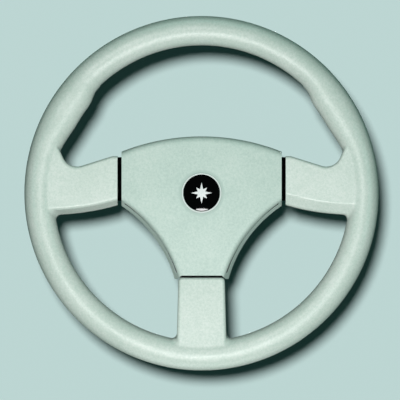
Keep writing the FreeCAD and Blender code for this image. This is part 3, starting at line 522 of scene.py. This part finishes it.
def compass_rose():
    """An eight-pointed compass rose laid on the badge's dome."""
    lift, sink = 0.06 * MM, 0.1 * MM
    shape = bmesh.new()
    corners = rose_outline()
    front = rose_layer(shape, corners, -lift)
    back = rose_layer(shape, corners, sink)
    for i in range(len(corners)):
        j = (i + 1) % len(corners)
        shape.faces.new([front[i], front[j], back[j], back[i]])
    bmesh.ops.recalc_face_normals(shape, faces=shape.faces)
    mesh = bpy.data.meshes.new("badge_compass_rose")
    shape.to_mesh(mesh)
    shape.free()
    return finish_piece("badge_compass_rose", mesh, badge_print())


def geometry_tree(name, inputs):
    """A Geometry Nodes tree with a geometry input, named inputs and a geometry output."""
    tree = bpy.data.node_groups.new(name, "GeometryNodeTree")
    tree.interface.new_socket("Path", in_out="INPUT", socket_type="NodeSocketGeometry")
    for label, kind in inputs:
        tree.interface.new_socket(label, in_out="INPUT", socket_type="NodeSocket" + kind)
    tree.interface.new_socket("Result", in_out="OUTPUT", socket_type="NodeSocketGeometry")
    return tree, tree.nodes.new("NodeGroupInput"), tree.nodes.new("NodeGroupOutput")


def finish_tree(tree, given, result, instances):
    """Turn the instances into real faces with their material."""
    real = tree.nodes.new("GeometryNodeRealizeInstances")
    smooth = tree.nodes.new("GeometryNodeSetShadeSmooth")
    painted = tree.nodes.new("GeometryNodeSetMaterial")
    join(tree, instances, real.inputs[0])
    join(tree, real.outputs[0], smooth.inputs["Geometry"])
    join(tree, smooth.outputs[0], painted.inputs["Geometry"])
    join(tree, given.outputs["Material"], painted.inputs["Material"])
    join(tree, painted.outputs[0], result.inputs["Result"])
    return tree


def bead_row_tree():
    """Overlapping flattened beads along a path, as a welder lays them."""
    tree, given, result = geometry_tree("bead_row", [
        ("Spacing", "Float"), ("Bead radius", "Float"),
        ("Thickness", "Float"), ("Material", "Material"),
    ])
    smallest, largest, fixed_seed = 0.88, 1.06, 7
    curve = tree.nodes.new("GeometryNodeMeshToCurve")
    even = add(tree, "GeometryNodeResampleCurve", mode="LENGTH")
    join(tree, given.outputs["Path"], curve.inputs["Mesh"])
    join(tree, curve.outputs[0], even.inputs["Curve"])
    join(tree, given.outputs["Spacing"], even.inputs["Length"])
    bead = add(tree, "GeometryNodeMeshIcoSphere", Subdivisions=3)
    join(tree, given.outputs["Bead radius"], bead.inputs["Radius"])
    aim = add(tree, "FunctionNodeAlignRotationToVector", axis="X")
    join(tree, tree.nodes.new("GeometryNodeInputTangent").outputs[0], aim.inputs["Vector"])
    vary = add(tree, "FunctionNodeRandomValue", data_type="FLOAT")
    for index, value in ((2, smallest), (3, largest), (8, fixed_seed)):
        vary.inputs[index].default_value = value
    size = tree.nodes.new("ShaderNodeCombineXYZ")
    join(tree, given.outputs["Thickness"], size.inputs["X"])
    join(tree, vary.outputs[1], size.inputs["Y"])
    join(tree, vary.outputs[1], size.inputs["Z"])
    place = tree.nodes.new("GeometryNodeInstanceOnPoints")
    join(tree, even.outputs[0], place.inputs["Points"])
    join(tree, bead.outputs["Mesh"], place.inputs["Instance"])
    join(tree, aim.outputs[0], place.inputs["Rotation"])
    join(tree, size.outputs[0], place.inputs["Scale"])
    return finish_tree(tree, given, result, place.outputs[0])


def disc_marks_tree():
    """Thin round discs facing along the wheel axis, one on each point."""
    tree, given, result = geometry_tree("disc_marks", [
        ("Disc radius", "Float"), ("Disc height", "Float"), ("Material", "Material"),
    ])
    disc = add(tree, "GeometryNodeMeshCylinder", Vertices=40)
    join(tree, given.outputs["Disc radius"], disc.inputs["Radius"])
    join(tree, given.outputs["Disc height"], disc.inputs["Depth"])
    place = add(tree, "GeometryNodeInstanceOnPoints", Rotation=(math.pi / 2, 0, 0))
    join(tree, given.outputs["Path"], place.inputs["Points"])
    join(tree, disc.outputs["Mesh"], place.inputs["Instance"])
    return finish_tree(tree, given, result, place.outputs[0])


def grow(name, tree, points, edges, values, material):
    """Run a tree on a path of points and edges and keep its result as a plain piece."""
    base = bpy.data.meshes.new(name + "_path")
    base.from_pydata(points, edges, [])
    path = bpy.data.objects.new(name + "_path", base)
    bpy.context.scene.collection.objects.link(path)
    modifier = path.modifiers.new(name, "NODES")
    modifier.node_group = tree
    values = dict(values, Material=material)
    for item in tree.interface.items_tree:
        if item.in_out == "INPUT" and item.name in values:
            modifier[item.identifier] = values[item.name]
    shape = path.evaluated_get(bpy.context.evaluated_depsgraph_get())
    mesh = bpy.data.meshes.new_from_object(shape)
    mesh.name = name
    bpy.data.objects.remove(path)
    return finish_piece(name, mesh, material)


def arm_frames():
    """For each arm the middle of its hole, the way outward along it and the way across it."""
    droop = math.radians(9)
    across, down = math.cos(droop), -math.sin(droop)
    ways = {1: (across, down), 2: (-across, down), 3: (0, -1)}
    for number, (x, z) in ways.items():
        low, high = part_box(f"pad_grommet_{number}")
        middle = Vector(((low.x + high.x) / 2, 0, (low.z + high.z) / 2))
        along = Vector((x, 0, z))
        yield middle, along, Vector((-z, 0, x))


def arm_welds():
    """Weld beads down both sides of each arm where it stands on the hub plate."""
    points, edges = [], []
    arm_half, weld_start, weld_end = 13 * MM, -7.5 * MM, 3.5 * MM
    for middle, along, across in arm_frames():
        for side in (-1, 1):
            for reach in (weld_start, weld_end):
                corner = middle + along * reach + across * side * arm_half
                points.append((corner.x, plate_front_y, corner.z))
            edges.append((len(points) - 2, len(points) - 1))
    values = {"Spacing": 0.9 * MM, "Bead radius": 1.5 * MM, "Thickness": 0.6}
    grow("arm_welds", bead_row_tree(), points, edges, values, paint)


def ejector_marks():
    """Round marks that the mould's ejector pins leave on the back of the pad's carrier."""
    places = [(27, -9), (43, -3), (63, 33), (30, 42), (14, -34), (15, -62)]
    carrier_back_depth, lift = 64, 0.02
    back = -(carrier_back_depth - lift) * MM
    points = [(side * x * MM, back, z * MM) for x, z in places for side in (-1, 1)]
    values = {"Disc radius": 2.4 * MM, "Disc height": 0.2 * MM}
    marks = disc_marks_tree()
    grow("carrier_ejector_marks", marks, points, [], values, carrier_plastic)


compass_rose()
arm_welds()
ejector_marks()


# Floor, backdrop and light

def floor_material():
    """A plain pale floor."""
    material, _, shader = new_material("pale_floor")
    shader.inputs["Base Color"].default_value = BACKGROUND
    shader.inputs["Roughness"].default_value = 1.0
    shader.inputs["Specular IOR Level"].default_value = 0.0
    return material


def backdrop_material():
    """Pale wall that holds the wheel's shadow in front and lets the view through from behind."""
    material = bpy.data.materials.new("pale_wall")
    tree = empty_tree(material)
    output = tree.nodes.new("ShaderNodeOutputMaterial")
    lit_part = [pale - dark for pale, dark in zip(BACKGROUND[:3], SHADOW_FLOOR[:3])]
    wall = add(tree, "ShaderNodeBsdfDiffuse", Color=(*lit_part, 1))
    glow = add(tree, "ShaderNodeEmission", Color=SHADOW_FLOOR)
    both = tree.nodes.new("ShaderNodeAddShader")
    join(tree, wall.outputs[0], both.inputs[0])
    join(tree, glow.outputs[0], both.inputs[1])
    clear = tree.nodes.new("ShaderNodeBsdfTransparent")
    side = tree.nodes.new("ShaderNodeNewGeometry")
    ray = tree.nodes.new("ShaderNodeLightPath")
    unseen = maths(tree, "SUBTRACT", 1.0, ray.outputs["Is Camera Ray"])
    hidden = maths(tree, "MAXIMUM", side.outputs["Backfacing"], unseen)
    mix_by(tree, hidden, both, clear, output)
    return material


def flat_sheet(name, corners, material):
    """A single large face of the stage."""
    mesh = bpy.data.meshes.new(name)
    mesh.from_pydata(corners, [], [(0, 1, 2, 3)])
    mesh.materials.append(material)
    sheet = bpy.data.objects.new(name, mesh)
    bpy.context.scene.collection.objects.link(sheet)
    return sheet


def light_group(name, objects):
    """A collection that a lamp may be linked to."""
    collection = bpy.data.collections.new(name)
    for item in objects:
        collection.objects.link(item)
    return collection


def hang_lamp(data, place, aim, receivers):
    """Hang a lamp that lights only its receivers; its light goes no further from there."""
    data.cycles.max_bounces = 0
    item = bpy.data.objects.new(data.name, data)
    item.location = place
    item.rotation_euler = (Vector(aim) - Vector(place)).to_track_quat("-Z", "Y").to_euler()
    bpy.context.scene.collection.objects.link(item)
    item.light_linking.receiver_collection = receivers
    return item


def sun(name, place, spread, receivers):
    """Even light from one side; its spread, in degrees, softens the shadows' edges."""
    data = bpy.data.lights.new(name, "SUN")
    data.energy = math.pi
    data.angle = math.radians(spread)
    return hang_lamp(data, place, (0, 0, 0), receivers)


def soft_box(name, place, aim, power, size, receivers, colour=WHITE):
    """A rectangular lamp, as wide and as high as its size."""
    data = bpy.data.lights.new(name, "AREA")
    data.energy = power
    data.color = colour
    data.shape = "RECTANGLE"
    data.size, data.size_y = size
    return hang_lamp(data, place, aim, receivers)


def build_stage():
    """Pale floor well below the wheel and a pale wall just behind its hub."""
    floor_z, wall_y, reach = -0.34, 0.004, 6.0
    floor = flat_sheet("pale_floor", [
        (-reach, -reach, floor_z), (reach, -reach, floor_z),
        (reach, reach, floor_z), (-reach, reach, floor_z),
    ], floor_material())
    wall = flat_sheet("pale_backdrop", [
        (-reach, wall_y, floor_z), (reach, wall_y, floor_z),
        (reach, wall_y, reach), (-reach, wall_y, reach),
    ], backdrop_material())
    floor.visible_shadow = False
    floor.visible_glossy = False
    wall.visible_shadow = False
    wall.visible_diffuse = False
    wall.visible_glossy = False
    return floor, wall


def build_suns(floor, wall):
    """A shadow lamp for the wall and one for the floor."""
    across, down = math.tan(math.radians(6.8)), math.tan(math.radians(9.4))
    sun("wall_sun", (-across, -1, down), 11.6, light_group("wall_lit", [wall]))
    sun("floor_sun", (0, 0, 1), 15, light_group("floor_lit", [floor]))


def build_boxes(pieces):
    """Large soft lamps round the wheel."""
    centre, face = (0, 0, 0), (0, -0.06, 0)
    soft_pieces = (NODES["rim_grip"], NODES["centre_pad"])
    black_names = ("spoke_arm_right", "spoke_arm_left", "spoke_arm_bottom", "badge_cap")
    wheel = light_group("wheel_lit", pieces)
    soft = light_group("soft_lit", soft_pieces)
    hard = light_group("hard_lit", [item for item in pieces if item not in soft_pieces])
    front = light_group("front_lit", [item for item in pieces if item.name not in black_names])
    badge = light_group("badge_lit", [NODES["badge_cap"]])
    soft_box("crest_box", (0, -0.96, -0.25), face, 3.2, (0.22, 0.12), front)
    soft_box("badge_strip", (0.01, -1.14, -0.365), (0, -0.07, 0), 0.5, (0.26, 0.06), badge)
    soft_box("low_box", (0, -1.05, -0.6), (0, 0, -0.05), 3.9, (0.6, 0.3), front, ROSE)
    soft_box("high_box", (-0.25, -1.1, 0.48), (0, 0, 0.05), 3.3, (0.6, 0.3), front, FAINT_ROSE)
    soft_box("left_box", (-0.9, -0.8, 0), centre, 1.1, (0.4, 0.6), wheel, TEAL)
    soft_box("right_box", (0.9, -0.8, 0), centre, 1.5, (0.4, 0.6), wheel, TEAL)
    soft_box("under_box", (0, -0.08, -0.8), (0, -0.06, -0.1), 1.8, (0.7, 0.3), wheel, MINT)
    soft_box("over_box", (0, -0.2, 0.8), (0, -0.06, 0.1), 0.7, (0.7, 0.3), wheel, TEAL)
    soft_box("rear_right", (1.3, 1.2, 0.9), centre, 7, (1.0, 1.0), hard)
    soft_box("rear_left", (-1.3, 1.2, 0.6), centre, 7, (1.0, 1.0), hard)
    soft_box("rear_low", (0, 1.5, -0.9), centre, 4, (1.0, 1.0), hard)
    rear_soft = soft_box("rear_soft", (0, 2.2, 0.5), centre, 40, (0.8, 0.8), soft)
    rear_soft.visible_glossy = False


def build_world():
    """Pale surroundings for the view, and a little even light."""
    even_strength = 0.02
    world = bpy.data.worlds.new("pale_world")
    bpy.context.scene.world = world
    tree = empty_tree(world)
    output = tree.nodes.new("ShaderNodeOutputWorld")
    seen = add(tree, "ShaderNodeBackground", Color=BACKGROUND)
    even = add(tree, "ShaderNodeBackground", Color=(*MINT, 1), Strength=even_strength)
    ray = tree.nodes.new("ShaderNodeLightPath").outputs
    direct = maths(tree, "MAXIMUM", ray["Is Camera Ray"], ray["Is Transmission Ray"])
    mix_by(tree, direct, even, seen, output)


def build_camera():
    """Camera square to the driver's side, a touch below the wheel axis."""
    view_pixels, wheel_pixels = 400, 354.5
    centre_across, centre_down = 201.6, 193.15
    per_pixel = 2 * rim_outer / wheel_pixels
    distance, tilt = 10.0, math.radians(-0.8)
    middle = Vector((0, rim_plane_y, 0))
    middle.x -= (centre_across - view_pixels / 2) * per_pixel
    middle.z -= (view_pixels / 2 - centre_down) * per_pixel
    data = bpy.data.cameras.new("camera")
    data.sensor_width = 36.0
    data.lens = data.sensor_width * distance / (view_pixels * per_pixel)
    data.clip_start = 0.05
    data.clip_end = 60
    camera = bpy.data.objects.new("camera", data)
    camera.location = middle + Vector((0, -math.cos(tilt), math.sin(tilt))) * distance
    camera.rotation_euler = (middle - camera.location).to_track_quat("-Z", "Y").to_euler()
    bpy.context.scene.collection.objects.link(camera)
    bpy.context.scene.camera = camera


wheel_pieces = [item for item in bpy.context.scene.objects if item.type == "MESH"]
floor, wall = build_stage()
build_suns(floor, wall)
build_boxes(wheel_pieces)
build_world()
build_camera()
bpy.context.scene.view_settings.view_transform = "Standard"
